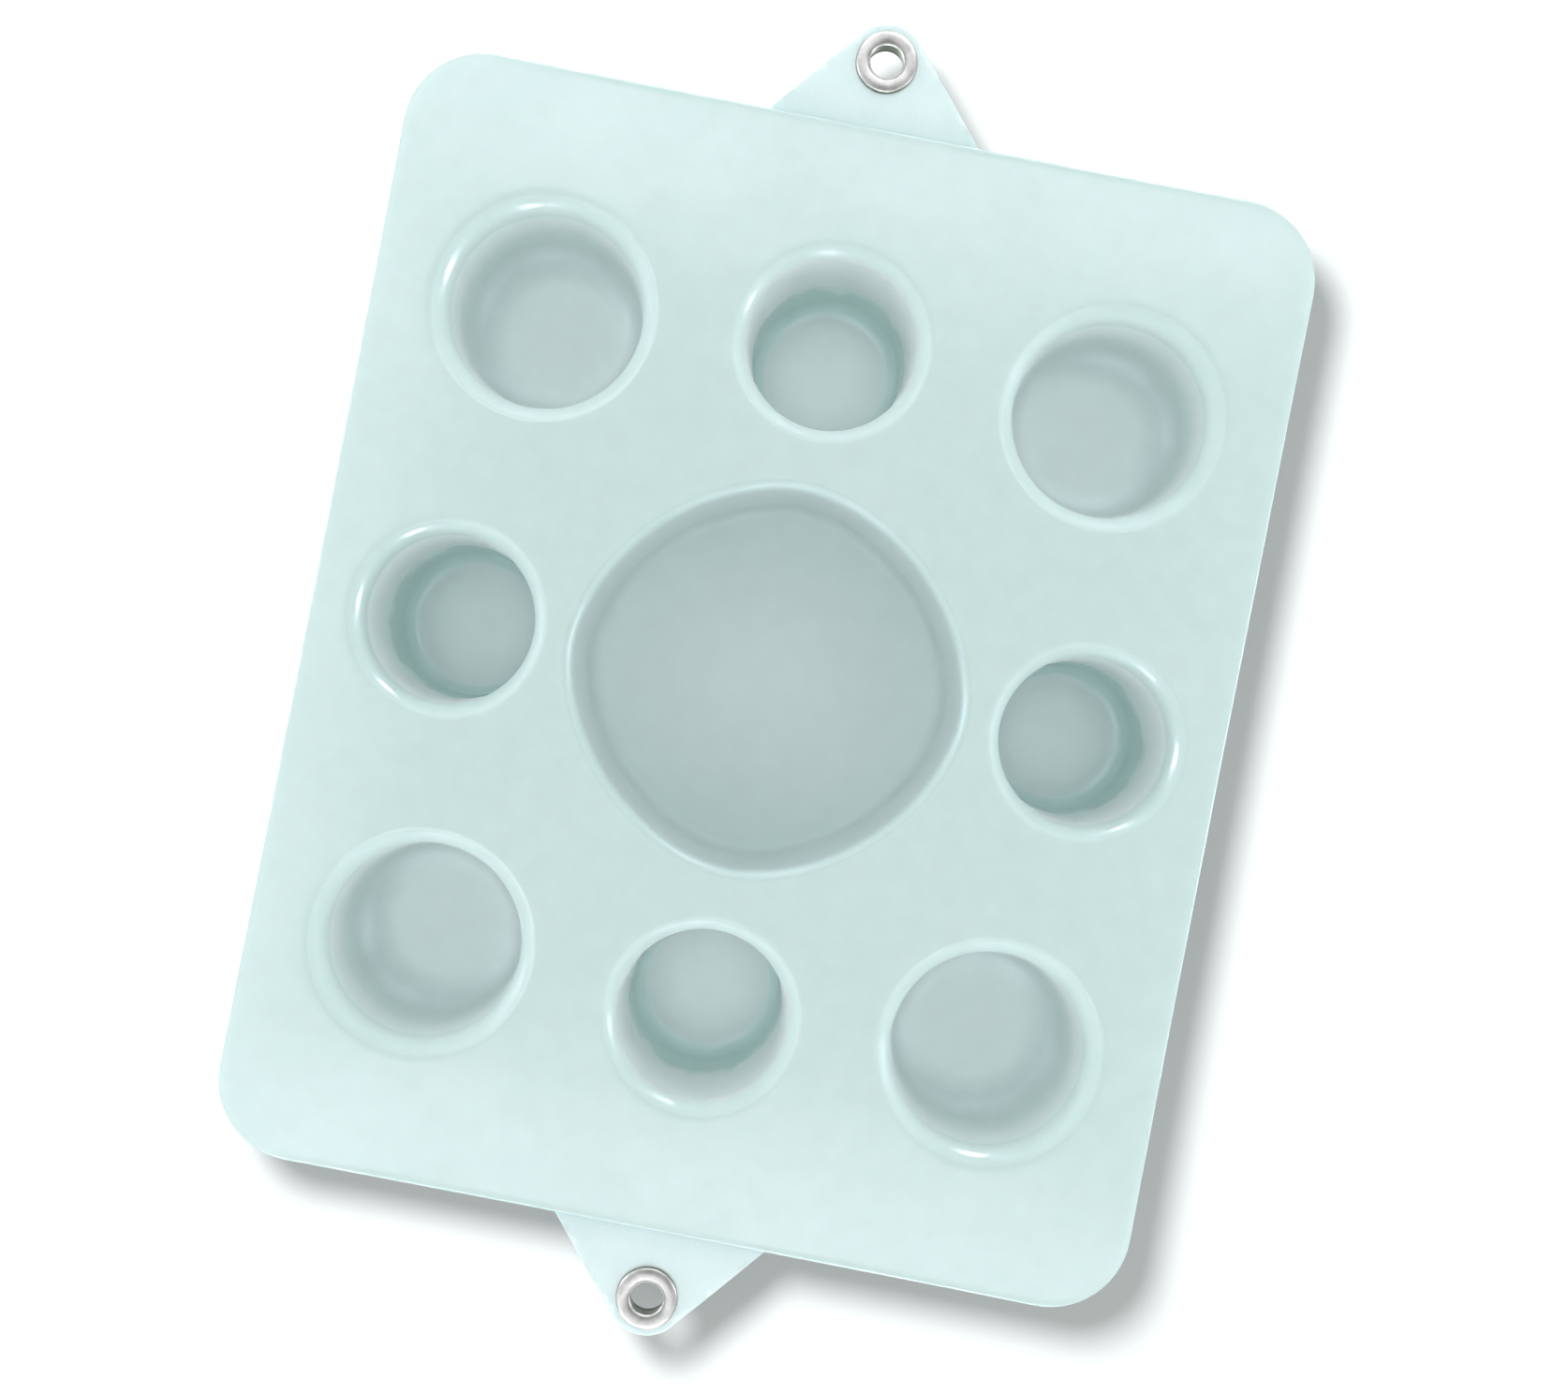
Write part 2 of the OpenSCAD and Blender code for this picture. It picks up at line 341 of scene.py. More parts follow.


# Shades down the inside, with each part running 0 to 1: painted light high on the walls of the
# cups and corner wells, painted shade lower down, round the foot and on the floors, a painted
# grey tint of shade, and lips rubbed dull
WELL_SHADE = {
    "cup": {
        "tone": dict(
            rim=eased(1.0, (0.20, 0.45, 1.0)),
            wall=eased(1.22, (-0.25, 0.58, 0.72)),
            foot=stations((0.0, 0.3, 0.66, 0.78, 1.0), (0.97, 0.93, 0.885, 0.905, 0.935)),
            floor=0.945,
        ),
        "grey": dict(
            rim=eased(0.0, (0.3, 0.4, 1.0)),
            wall=eased(0.0, (0.4, 0.0, 0.2), (-0.4, 0.56, 0.72)),
            foot=eased(0.0, (0.9, 0.58, 0.74)),
            floor=0.9,
        ),
        "rub": dict(
            rim=eased(0.0, (1.0, 0.14, 0.34)),
            wall=eased(1.0, (-1.0, 0.0, 0.5)),
            foot=eased(0.0),
        ),
    },
    "corner": {
        "tone": dict(
            rim=eased(1.0, (0.07, 0.4, 1.0)),
            wall=eased(1.18, (-0.13, 0.3, 1.0)),
            foot=stations((0.0, 0.3, 0.6, 0.84, 1.0), (1.04, 0.905, 0.78, 0.84, 0.895)),
            floor=0.915,
        ),
        "grey": dict(
            rim=eased(0.0, (0.3, 0.4, 1.0)),
            wall=eased(0.0, (0.50, 0.0, 0.4), (0.10, 0.5, 1.0)),
            foot=stations((0.0, 0.35, 0.6, 1.0), (0.60, 0.92, 0.95, 0.75)),
            floor=0.75,
        ),
        "rub": dict(
            rim=eased(0.0, (1.0, 0.14, 0.34)),
            wall=eased(1.0, (-1.0, 0.0, 0.5)),
            foot=eased(0.0),
        ),
    },
    "centre": {
        "tone": dict(
            rim=eased(1.0, (-0.09, 0.0, 0.3), (-0.03, 0.4, 0.9)),
            wall=stations((0.0, 1.0), (0.89, 0.85)),
            foot=stations((0.0, 0.25, 0.5, 0.75, 1.0), (0.85, 0.80, 0.77, 0.775, 0.80)),
            floor=0.865,
        ),
        "grey": dict(
            rim=eased(0.0, (0.8, 0.4, 1.0)),
            wall=eased(1.0),
            foot=eased(1.0, (-0.4, 0.6, 1.0)),
            floor=0.6,
        ),
        "rub": dict(
            rim=eased(0.0, (0.5, 0.14, 0.34)),
            wall=eased(0.5, (0.4, 0.0, 0.5)),
            foot=eased(0.9, (-0.63, 0.6, 1.0)),
        ),
    },
}

# The left and right cups get painted shading of their own on the rim and more painted shade inside,
# by this much
SIDE_CUP_RIM_PAINTED_SHADING = eased(1.0, (-0.035, 0.1, 0.4), (0.06, 0.45, 1.0))
SIDE_CUP_PAINTED_SHADE = dict(
    rim=eased(0.0),
    wall=stations((0.0, 1.0), (-0.03, 0.02)),
    foot=stations((0.0, 1.0), (0.02, 0.11)),
)
SIDE_CUP_FLOOR_PAINTED_SHADE = 0.11

# Brushes are wiped on the lips, which takes their gloss off, apart from short stretches that
# kept their polish: direction from the well's middle, half-width (degrees), polish left
POLISH = {
    "cup_left": ((180, 13, 1.0), (121, 10, 1.0), (240, 10, 1.0)),
    "cup_right": ((0, 13, 1.0), (60, 10, 1.0), (300, 11, 1.0)),
    "cup_top": ((105, 9, 0.9), (165, 9, 0.8)),
    "cup_bottom": ((255, 9, 0.9), (195, 9, 0.7)),
    "corner_well_np": ((106, 10, 1.0), (171, 13, 1.0)),
    "corner_well_pp": ((172, 11, 0.6),),
    "corner_well_nn": ((355, 9, 0.6),),
    "corner_well_pn": ((273, 12, 1.0), (188, 9, 0.6)),
}
# where down the rim the polish shows
POLISH_BAND = eased(0.0, (1.0, 0.24, 0.42), (-1.0, 0.66, 0.86))


def lip_polish(well):
    """How much polish each point round a well's lip has kept, 0 to 1."""
    degrees = np.degrees(ring_angles(well.count))
    kept = np.zeros(well.count)
    for direction, half_width, left in POLISH.get(well.name, ()):
        apart = np.abs((degrees - direction + 180) % 360 - 180)
        kept = np.maximum(kept, left * np.exp(-((apart / half_width) ** 3)))
    return kept


def outer_side(well):
    """1 on the side away from the plate's middle, where the painted shade at the foot stays, else
    0.
    """
    if well.kind == "centre":
        return np.ones(well.count)
    outward = math.atan2(well.middle[1], well.middle[0])
    return smooth(-0.55, 0.75, np.cos(ring_angles(well.count) - outward))


def band_wander(well):
    """How far the painted bands of light and shade down a cup wander round it."""
    if well.kind != "cup":
        return 0.0
    angles = ring_angles(well.count)
    x, y = well.middle
    # height of the wave, waves per turn, phase
    waves = (
        (0.050, 3, x * 0.3),
        (0.036, 7, y * 0.7 + 1.0),
        (0.026, 13, 2.0),
        (0.018, 23, x),
    )
    return sum(height * np.sin(turns * angles + phase) for height, turns, phase in waves)


def painted_edge_sheen(points):
    """A trace of painted sheen along the cut edge."""
    x, y = np.array(points).T
    from_edge = np.minimum(PLATE_W / 2 - np.abs(x), PLATE_L / 2 - np.abs(y))
    return 0.015 * (1 - smooth(0.4, 3.0, from_edge))


# ------------------------------------------------------------------ one well


def section_rows(well, inner):
    """Rows down a well: (part, 0 to 1 along the part, radius, height from the face)."""
    form = well.form
    skin = 0.0 if inner else WALL_T
    rim_steps, wall_steps, foot_steps = (14, 14, 12) if inner else (7, 5, 6)
    if well.kind == "centre":
        wall_steps = 5 if inner else 3
    draft = math.radians(form["draft"])
    wall_x = form["rim_r"] - form["rim"] * math.cos(draft)
    wall_z = -form["rim"] + form["rim"] * math.sin(draft)
    foot_z = -form["depth"] + form["floor_r"]
    foot_x = (
        wall_x
        - (wall_z - (foot_z - form["floor_r"] * math.sin(draft))) * math.tan(draft)
        - form["floor_r"] * math.cos(draft)
    )
    rim_r = form["rim"] - skin
    rim = arc(form["rim_r"], -form["rim"], rim_r, 90, 180 - form["draft"], rim_steps)
    foot = arc(foot_x, foot_z, form["floor_r"] + skin, -form["draft"], -90, foot_steps)
    wall = between(rim[-1], foot[0], wall_steps)
    return (
        [("rim", (k + 1) / rim_steps, *p) for k, p in enumerate(rim[1:])]
        + [("wall", (k + 1) / wall_steps, *p) for k, p in enumerate(wall)]
        + [("foot", k / foot_steps, *p) for k, p in enumerate(foot)]
    )


def floor_points(well, edge_radius):
    """Two rings just inside the floor's edge and a field of even points within them."""
    points = []
    for inset, every in ((0.7, 1), (1.8, 2)):
        points += well_ring(well, edge_radius - inset)[::every]
    x, y = well.middle
    reach = edge_radius + well.reach
    step = 2.6 if well.kind == "centre" else 2.0
    for px, py in hex_grid(x - reach, x + reach, y - reach, y + reach, step):
        limit = edge_radius + well.plan(math.atan2(py - y, px - x)) - 2.8
        if math.hypot(px - x, py - y) < limit:
            points.append((px, py))
    return points


def add_well(sheet, well, top_ring, bottom_ring):
    shade = WELL_SHADE[well.kind]
    side_cup = well.kind == "cup" and abs(well.middle[1]) < 1
    inner_floor_painted_shade = shade["tone"]["floor"] - (SIDE_CUP_FLOOR_PAINTED_SHADE if side_cup else 0.0)
    # painted sheen near the cut edge, on the lip
    painted_lip_sheen = painted_edge_sheen(well_ring(well, well.form["rim_r"]))
    polish = lip_polish(well)
    far = outer_side(well)
    wander = band_wander(well)

    for inner, ring in ((True, top_ring), (False, bottom_ring)):
        for part, along, radius, height in section_rows(well, inner):
            # painted shading down the section: painted light high on the wall, painted shade lower
            # down
            if part == "rim":
                tone = (SIDE_CUP_RIM_PAINTED_SHADING if side_cup else shade["tone"]["rim"])(along)
            else:
                tone = shade["tone"][part](along + wander)
            grey = rub = 0.0
            if inner:
                grey = shade["grey"][part](along)
                rub = shade["rub"][part](along)
                if side_cup:
                    tone = tone - SIDE_CUP_PAINTED_SHADE[part](along)
                if part == "rim":
                    rub = rub - polish * POLISH_BAND(along)
                # painted shade at the foot stays on the side away from the plate's middle;
                # elsewhere it goes no darker than the floor's painted shade
                if part == "foot":
                    tone = far * tone + (1 - far) * np.maximum(tone, inner_floor_painted_shade)
            ring = sheet.extend(
                ring,
                at_height(well_ring(well, radius), TOP_Z + height),
                flip=not inner,
                tone=tone,
                lift=painted_lip_sheen * (1 - along) if part == "rim" else 0.0,
                grey=grey,
                rub=rub,
            )
        # radius and height are now those of the floor's edge
        points = floor_points(well, radius)
        triangles = fill([well_ring(well, radius)], points)
        # painted shade on the floor
        tone = inner_floor_painted_shade if inner else shade["tone"]["floor"]
        if well.kind == "centre" and inner:
            # painted shade: darker away from the middle, more so along Y
            from_middle = (np.array(points) / 17.0) ** 2
            tone = (
                tone
                - 0.055 * np.minimum(from_middle[:, 1], 1.6)
                - 0.02 * np.minimum(from_middle[:, 0], 1.6)
            )
        grey = shade["grey"]["floor"] if inner else 0.0
        numbers = ring + sheet.add(at_height(points, TOP_Z + height), tone, grey=grey)
        sheet.triangles(numbers, triangles, flip=not inner)


# ------------------------------------------------------------------ the tray


def plate_outline(inset, corner_steps=14, spacing=2.2):
    """The plate's outline, with the same number of points at any inset."""
    return rounded_rect(
        PLATE_W / 2 - CORNER_R,
        PLATE_L / 2 - CORNER_R,
        CORNER_R - inset,
        corner_steps,
        [int(round((size - 2 * CORNER_R) / spacing)) for size in (PLATE_W, PLATE_L)],
    )


def in_plate(x, y, inset):
    half_w, half_l = PLATE_W / 2 - inset, PLATE_L / 2 - inset
    radius = CORNER_R - inset
    past_x, past_y = abs(x) - (half_w - radius), abs(y) - (half_l - radius)
    if past_x > 0 and past_y > 0:
        return math.hypot(past_x, past_y) < radius
    return abs(x) < half_w and abs(y) < half_l


def face_layout():
    """The face's boundary loops, the plate's first, and the loose points between them."""
    loops = [plate_outline(EDGE_R)]
    loops += [well_ring(well, well.form["rim_r"]) for well in WELLS]
    loose = []
    for inset in (1.0, 2.2):
        loose += plate_outline(EDGE_R + inset, corner_steps=10, spacing=2.6)
    for well in WELLS:
        for offset, every in ((0.5, 1), (1.3, 2)):
            loose += well_ring(well, well.form["rim_r"] + offset)[::every]
    for x, y in hex_grid(-PLATE_W / 2, PLATE_W / 2, -PLATE_L / 2, PLATE_L / 2, 2.6):
        if in_plate(x, y, EDGE_R + 3.4) and lip_gap(x, y) > 2.3:
            loose.append((x, y))
    return loops, loose


def warp(x, y, z):
    """How far the sheet stands off its nominal height: corners lift, the face waves faintly."""
    u, v = x / (PLATE_W / 2), y / (PLATE_L / 2)
    corner_lift = 0.45 * (u * u) * (v * v)
    wave = (
        0.035 * np.sin(0.083 * x + 1.3) * np.sin(0.061 * y + 0.4)
        + 0.022 * np.sin(0.121 * x - 0.047 * y + 2.1)
        + 0.016 * np.sin(0.052 * x + 0.139 * y + 0.7)
    )
    near_tab = np.exp(-((x / 26.0) ** 2)) * smooth(62, 76, np.abs(y))
    return (corner_lift + wave * (1 - near_tab)) * np.clip(z / TOP_Z, 0, 1) ** 1.5


def build_tray():
    loops, loose = face_layout()
    points = [p for loop in loops for p in loop] + loose
    triangles = fill(loops, loose)
    # painted sheen along the cut edge
    lift = painted_edge_sheen(points)
    sheet = MeshBuilder()
    top = sheet.add(at_height(points, TOP_Z), lift=lift)
    bottom = sheet.add(at_height(points, TOP_Z - WALL_T), lift=lift)
    sheet.triangles(top, triangles)
    sheet.triangles(bottom, triangles, flip=True)

    # outer edge: a small round above and below, and the cut side between them; painted shade
    # deepens down the upper round and lies on the lower one, and a painted sheen pales the edge
    count = len(loops[0])
    ring = top[:count]
    for upper, k, inset, drop in edge_levels(EDGE_R, EDGE_STEPS):
        outline = plate_outline(inset)
        ring = sheet.extend(
            ring,
            at_height(outline, TOP_Z - drop if upper else TOP_Z - WALL_T + drop),
            flip=True,
            tone=1.0 - 0.02 * k if upper else 0.92,
            lift=painted_edge_sheen(outline),
            rub=min(1.0, k / 2) if upper else 1.0,
        )
    sheet.bridge(ring, bottom[:count], flip=True)

    first = count
    for well in WELLS:
        last = first + well.count
        add_well(sheet, well, top[first:last], bottom[first:last])
        first = last

    warped = np.array(sheet.points)
    warped[:, 2] += warp(*warped.T)
    sheet.points = [tuple(p) for p in warped]
    return sheet.build("palette_tray")


tray = build_tray()

# ------------------------------------------------------------------ tabs: one sheet each

TAB_EDGE_R = 0.18
TAB_EDGE_STEPS = 3
TAB_HOLE_R = 2.9
TAB_HOLE_POINTS = 48
ROOT_CORNER_R = 3.0
# rings of points round the hole: radius, count
HOLE_RINGS = ((3.4, 48), (4.0, 48), (4.6, 48), (5.1, 56))
FIELD_FROM_HOLE = 5.6  # nearest the field of points comes to the hole's middle
# rows across the sheet, close together where it folds: first y, last y, step
ROW_BANDS = ((ROOT_END + 1.2, 84.4, 1.4), (84.7, 90.0, 0.35), (90.4, 103, 0.8))


def tab_outline(inset):
    """Anticlockwise plan of the top tab: round tip, straight sides, root with round corners."""
    radius = TIP_R - inset
    reach = math.hypot(TAB_HALF_W, EYELET_Y - FOLD_Y)
    turn = math.atan2(EYELET_Y - FOLD_Y, -TAB_HALF_W) - math.asin(TIP_R / reach)
    # outward normal of the right side, which touches the tip's circle at tip_x, tip_y
    normal_x, normal_y = math.sin(turn), -math.cos(turn)
    tip_x, tip_y = radius * normal_x, EYELET_Y + radius * normal_y
    # the side carried on under the plate until it meets the root's straight side
    root_x = ROOT_HALF_W - inset
    root_y = tip_y - (root_x - tip_x) / -math.cos(turn) * math.sin(turn)
    end_y = ROOT_END + inset
    corner_x, corner_y = root_x - ROOT_CORNER_R, end_y + ROOT_CORNER_R
    tip_start = math.degrees(math.atan2(normal_y, normal_x))
    return [
        *arc(0, EYELET_Y, radius, tip_start, 180 - tip_start, 35),
        *between((-tip_x, tip_y), (-root_x, root_y), 22),
        (-root_x, root_y),
        *between((-root_x, root_y), (-root_x, corner_y), 5),
        *arc(-corner_x, corner_y, ROOT_CORNER_R, 180, 270, 6),
        *between((-corner_x, end_y), (corner_x, end_y), 20),
        *arc(corner_x, corner_y, ROOT_CORNER_R, 270, 360, 6),
        *between((root_x, corner_y), (root_x, root_y), 5),
        (root_x, root_y),
        *between((root_x, root_y), (tip_x, tip_y), 22),
    ]


def tab_field():
    """Loose points of the tab's sheet: rings round the hole, then staggered rows."""
    points = []
    for radius, count in HOLE_RINGS:
        points += circle(EYELET_Y, radius, count, shift=0.5)
    limit = np.array(tab_outline(TAB_EDGE_R + 0.55))
    rows = np.concatenate([np.arange(*band) for band in ROW_BANDS])
    for k, y in enumerate(rows):
        step = 0.9 if 84 < y < 90.2 else 1.2
        for x in np.arange(-21, 21.01, step) + (step / 2 if k % 2 else 0):
            if in_polygon(limit, x, y) and math.hypot(x, y - EYELET_Y) > FIELD_FROM_HOLE:
                points.append((float(x), float(y)))
    return points


def build_tab(name, side):
    outline = tab_outline(TAB_EDGE_R)
    hole = circle(EYELET_Y, TAB_HOLE_R, TAB_HOLE_POINTS)
    field = tab_field()
    triangles = fill([outline, hole], field)
    points = np.array(outline + hole + field)
    x, y = points.T
    from_eyelet = np.hypot(x, y - EYELET_Y)
    # the flange presses the sheet down a little, and the sheet swells just outside it
    press = -0.07 * (1 - smooth(4.3, 5.3, from_eyelet))
    press = press + 0.05 * np.exp(-(((from_eyelet - 5.45) / 0.35) ** 2))
    # the free part's sides curl up; past the fold the sheet is painted paler as a sheen, and a
    # painted shadow darkens it just past the plate's edge
    curl = np.minimum(0.10 * smooth(86.0, 96.0, y) * (x / 10.0) ** 2, 0.12)
    lift = 0.55 * smooth(85.0, 90.0, y) + 0.10
    tone = 1.0 - 0.13 * np.exp(-(((y - 85.5) / 0.75) ** 2))
    top_z = TAB_TOP_Z + press + curl
    bottom_z = TAB_TOP_Z - TAB_T + np.maximum(press, -0.02) * 0.3 + curl

    sheet = MeshBuilder()
    top = sheet.add(at_height(points, top_z), tone, lift)
    bottom = sheet.add(at_height(points, bottom_z), tone, lift)
    sheet.triangles(top, triangles)
    sheet.triangles(bottom, triangles, flip=True)

    # rounded cut edge, with painted shade deepening down its upper round
    count = len(outline)
    ring = top[:count]
    for upper, k, inset, drop in edge_levels(TAB_EDGE_R, TAB_EDGE_STEPS):
        ring = sheet.extend(
            ring,
            at_height(
                tab_outline(inset), top_z[:count] - drop if upper else bottom_z[:count] + drop
            ),
            flip=True,
            tone=tone[:count] - (0.05 * k if upper else 0.0),
            lift=lift[:count],
        )
    sheet.bridge(ring, bottom[:count], flip=True)
    hole_end = count + TAB_HOLE_POINTS
    sheet.bridge(top[count:hole_end], bottom[count:hole_end])
    if side < 0:
        sheet.half_turn()
    return sheet.build(name)


tabs = {end: build_tab(f"{end}_tab", side) for end, side in ENDS}

# ------------------------------------------------------------------ eyelets and washers

TURNED_POINTS = 96
METAL_TONE = 0.7  # where the profile gives none


def lathe(name, profile, middle_y):
    """Turns a closed profile of (radius, z) or (radius, z, painted shading) about an upright axis.
    """
    turned = MeshBuilder()
    rings = []
    for radius, z, *tone in reversed(profile):
        points = at_height(circle(middle_y, radius, TURNED_POINTS), z)
        rings.append(turned.add(points, tone[0] if tone else METAL_TONE))
    for k, ring in enumerate(rings):
        turned.bridge(ring, rings[(k + 1) % len(rings)])
    return turned.build(name)


def eyelet_profile():
    """Rolled metal: a crowned flange, a throat, and a tail flared and curled below."""
    sheet = TAB_TOP_Z
    crown = EYELET_HIGH[2]
    tail = WASHER_LOW[2]
    # Seen face, from the tail up through the throat and out to the rolled edge. The third value
    # is painted shading: a painted reflection brightens the throat, and painted shade darkens the
    # mouth and groove most, the rolled edge and crown less.
    face = [
        (2.90, tail - 0.02, 1.3), (2.80, tail + 0.16, 1.3), (2.68, tail + 0.36, 1.3),
        (2.56, sheet - 0.3, 1.3), (2.48, sheet + 0.05, 1.2),
    ]
    mouth = arc(2.86, sheet + 0.24, 0.39, 176, 104, 6)
    face += [(r, z, 1.0 - 0.1 * k) for k, (r, z) in enumerate(mouth)]
    face += [
        (2.84, sheet + 0.614, 0.40), (2.95, sheet + 0.618, 0.40), (3.06, sheet + 0.66, 0.60),
        (3.25, crown - 0.055, 0.66), (3.5, crown - 0.024, 0.74), (3.75, crown - 0.014, 0.72),
        (3.98, crown - 0.03, 0.64), (4.12, crown - 0.055, 0.60),
    ]
    face += [(r, z, 0.56) for r, z in arc(FLANGE_R - 0.44, crown - 0.51, 0.42, 66, -40, 9)]
    # hidden face of the metal, back to the tail
    back = arc(FLANGE_R - 0.44, crown - 0.52, 0.17, -35, 70, 6)
    back += [(3.9, crown - 0.28), (3.4, crown - 0.36)]
    back += arc(3.02, sheet + 0.16, 0.22, 95, 176, 5)
    back += [(2.79, sheet - 0.45), (2.86, tail + 0.30)]
    # tail rolled out against the washer
    back += [(2.98, tail + 0.02), (3.30, tail - 0.02)]
    lip = arc(3.24, tail - 0.31, 0.30, 62, -90, 8)
    lip += arc(3.10, tail - 0.33, 0.28, -90, -168, 5)
    return face + back + lip


def washer_profile():
    """A flat ring with eased edges."""
    top, bottom = WASHER_HIGH[2] - 0.012, WASHER_LOW[2]
    radius = (WASHER_HIGH[0] - WASHER_LOW[0]) / 2
    return (
        [(2.95, top - 0.02), (3.2, top), (3.9, top)]
        + arc(radius - 0.12, top - 0.12, 0.12, 90, -60, 5)
        + [(radius - 0.45, bottom + 0.03), (3.9, bottom), (3.2, bottom), (2.95, bottom + 0.03)]
    )


metal_rings = []
for end, side in ENDS:
    eyelet = lathe(f"{end}_eyelet_ring", eyelet_profile(), side * EYELET_Y)
    washer = lathe(f"{end}_washer_ring", washer_profile(), side * EYELET_Y)
    for ring, piece in ((eyelet, f"{end}_eyelet"), (washer, f"{end}_eyelet_washer")):
        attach(ring, f"{end}_tab")
        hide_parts(piece)
        metal_rings.append(ring)

# ------------------------------------------------------------------ bond pads

PAD_CORNER_R = 2.0
PAD_EDGE = 0.1  # height of the eased edge
PAD_EDGE_INSET = 0.25
PAD_MARGIN_X, PAD_MARGIN_Y = 0.6, 0.4  # kept free inside the frame's box for the squeeze


def pad_outline(inset):
    """Rounded rectangle with a softly uneven, squeezed edge, kept inside the tab's root."""
    middle_y = (PAD_LOW[1] + PAD_HIGH[1]) / 2
    half_x = PAD_HIGH[0] - PAD_MARGIN_X - inset
    half_y = (PAD_HIGH[1] - PAD_LOW[1]) / 2 - PAD_MARGIN_Y - inset
    rect = rounded_rect(
        half_x - PAD_CORNER_R, half_y - PAD_CORNER_R, PAD_CORNER_R, 6, (12, 12), middle_y
    )
    points = []
    for k, (x, y) in enumerate(rect):
        squeeze = 0.10 * math.sin(k * 1.7) + 0.07 * math.sin(k * 0.61 + 2)
        from_middle = math.hypot(x, y - middle_y) + 1e-6
        x += squeeze * x / from_middle
        y += squeeze * (y - middle_y) / from_middle
        # the root narrows towards the plate's edge
        limit = ROOT_HALF_W - 1.2 - max(0.0, y - 80.0) * 0.86
        points.append((max(-limit, min(limit, x)), y))
    return points


def build_pad(name, side):
    bottom_z, top_z = PAD_LOW[2], PAD_HIGH[2]
    levels = (
        (PAD_EDGE_INSET, bottom_z),
        (0.0, bottom_z + PAD_EDGE),
        (0.0, top_z - PAD_EDGE),
        (PAD_EDGE_INSET, top_z),
    )
    pad = MeshBuilder()
    rings = [pad.add(at_height(pad_outline(inset), z)) for inset, z in levels]
    for lower, upper in zip(rings, rings[1:]):
        pad.bridge(lower, upper)
    field = [
        (float(x), float(y))
        for y in np.arange(PAD_LOW[1] + 2.2, PAD_HIGH[1] - 2.0, 1.8)
        for x in np.arange(-15, 15.1, 2.2)
    ]
    triangles = fill([pad_outline(PAD_EDGE_INSET)], field)
    bottom = rings[0] + pad.add(at_height(field, bottom_z))
    top = rings[3] + pad.add(at_height(field, top_z))
    pad.triangles(bottom, triangles, flip=True)
    pad.triangles(top, triangles)
    if side < 0:
        pad.half_turn()
    return pad.build(name)


pads = {end: build_pad(f"{end}_adhesive_pad", side) for end, side in ENDS}

# ------------------------------------------------------------------ shader graphs


class Graph:
    """Node tree of a material, light or world. Most methods add a node and return its output."""

    def __init__(self, owner):
        owner.use_nodes = True
        self.tree = owner.node_tree

    def feed(self, node, inputs):
        """Links sockets to a node's inputs, and sets plain values on them."""
        for key, value in inputs.items():
            if isinstance(value, bpy.types.NodeSocket):
                self.tree.links.new(value, node.inputs[key])
            else:
                node.inputs[key].default_value = value

    def node(self, kind, inputs=None, **settings):
        node = self.tree.nodes.new(kind)
        for key, value in settings.items():
            setattr(node, key, value)
        self.feed(node, inputs or {})
        return node

    def surface(self, inputs):
        self.feed(self.tree.nodes["Principled BSDF"], inputs)

    def coords(self, kind="Object"):
        return self.node("ShaderNodeTexCoord").outputs[kind]

    def attribute(self, name):
        return self.node("ShaderNodeAttribute", attribute_name=name).outputs["Fac"]

    def noise(self, vector, scale, detail=2.0, roughness=0.5):
        inputs = {"Vector": vector, "Scale": scale, "Detail": detail, "Roughness": roughness}
        return self.node("ShaderNodeTexNoise", inputs).outputs["Fac"]

    def math(self, operation, *values, clamp=False):
        inputs = dict(enumerate(values))
        node = self.node("ShaderNodeMath", inputs, operation=operation, use_clamp=clamp)
        return node.outputs[0]

    def scaled(self, value, gain, offset, clamp=False):
        return self.math("MULTIPLY_ADD", value, gain, offset, clamp=clamp)

    def remap(self, value, source=(0.0, 1.0), target=(0.0, 1.0), kind="LINEAR"):
        inputs = {
            "Value": value,
            "From Min": source[0],
            "From Max": source[1],
            "To Min": target[0],
            "To Max": target[1],
        }
        return self.node("ShaderNodeMapRange", inputs, interpolation_type=kind).outputs["Result"]

    def ease(self, value, source, target):
        return self.remap(value, source, target, kind="SMOOTHSTEP")

    def mix(self, factor, a, b, **settings):
        inputs = {"Factor": factor, "A": a, "B": b}
        return self.node("ShaderNodeMix", inputs, **settings).outputs["Result"]

    def mix_colour(self, factor, a, b, blend="MIX"):
        return self.mix(factor, a, b, data_type="RGBA", blend_type=blend)

    def ramp(self, factor, low, high, places=(0.0, 1.0)):
        node = self.node("ShaderNodeValToRGB", {"Fac": factor})
        for element, place, colour in zip(node.color_ramp.elements, places, (low, high)):
            element.position = place
            element.color = colour
        return node.outputs["Color"]

    def bump(self, height, strength, distance, normal=None):
        inputs = {"Height": height, "Strength": strength, "Distance": distance}
        if normal is not None:
            inputs["Normal"] = normal
        return self.node("ShaderNodeBump", inputs).outputs["Normal"]


# ------------------------------------------------------------------ materials


